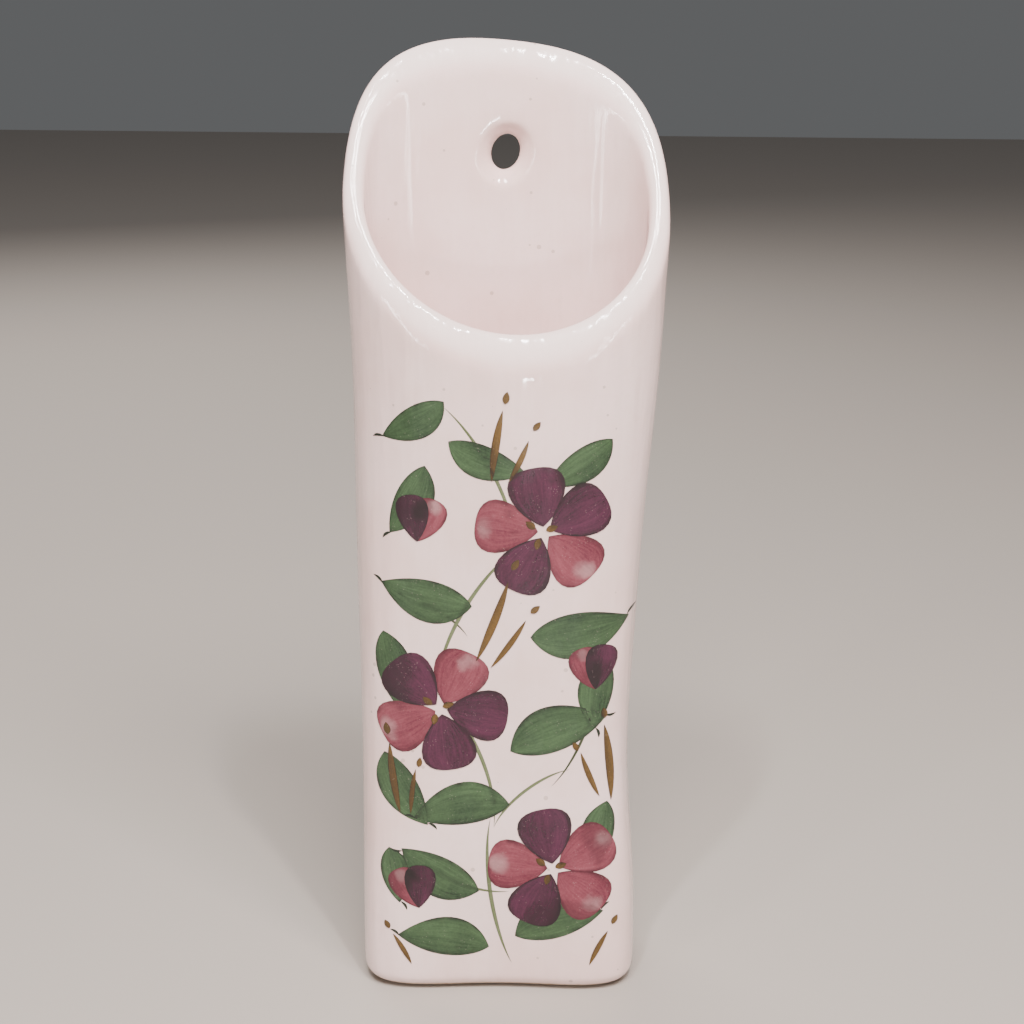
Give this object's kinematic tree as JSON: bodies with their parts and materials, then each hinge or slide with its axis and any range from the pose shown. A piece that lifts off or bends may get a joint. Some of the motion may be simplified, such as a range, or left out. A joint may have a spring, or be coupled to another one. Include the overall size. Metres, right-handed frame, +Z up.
{
  "type": "hanging wall vase",
  "caption": "Tall flat-backed ceramic wall vase with a slanted open mouth, a rounded rim, an oval hanging hole and a hand-painted spray of leaves and blossoms.",
  "frame": {"origin": "on the ground under the middle of the whole pot's box, as the vase stands on its foot", "axes": "+Z up, +Y towards the wall that the flat back hangs on, so the painted front faces -Y"},
  "size_m": [0.0836, 0.0492, 0.2519],
  "materials": {
    "fired_clay": "matte",
    "white_glaze": "gloss",
    "leaf_green": "gloss",
    "plum": "gloss",
    "rose": "gloss",
    "stem_green": "gloss",
    "ochre": "gloss"
  },
  "bodies": {
    "root": {"fired_clay_body": "fired_clay", "glaze_coat": "white_glaze", "painted_leaves": "leaf_green", "painted_plum_petals": "plum", "painted_rose_petals": "rose", "painted_stems": "stem_green", "painted_ochre_strokes": "ochre"}
  },
  "joints": []
}
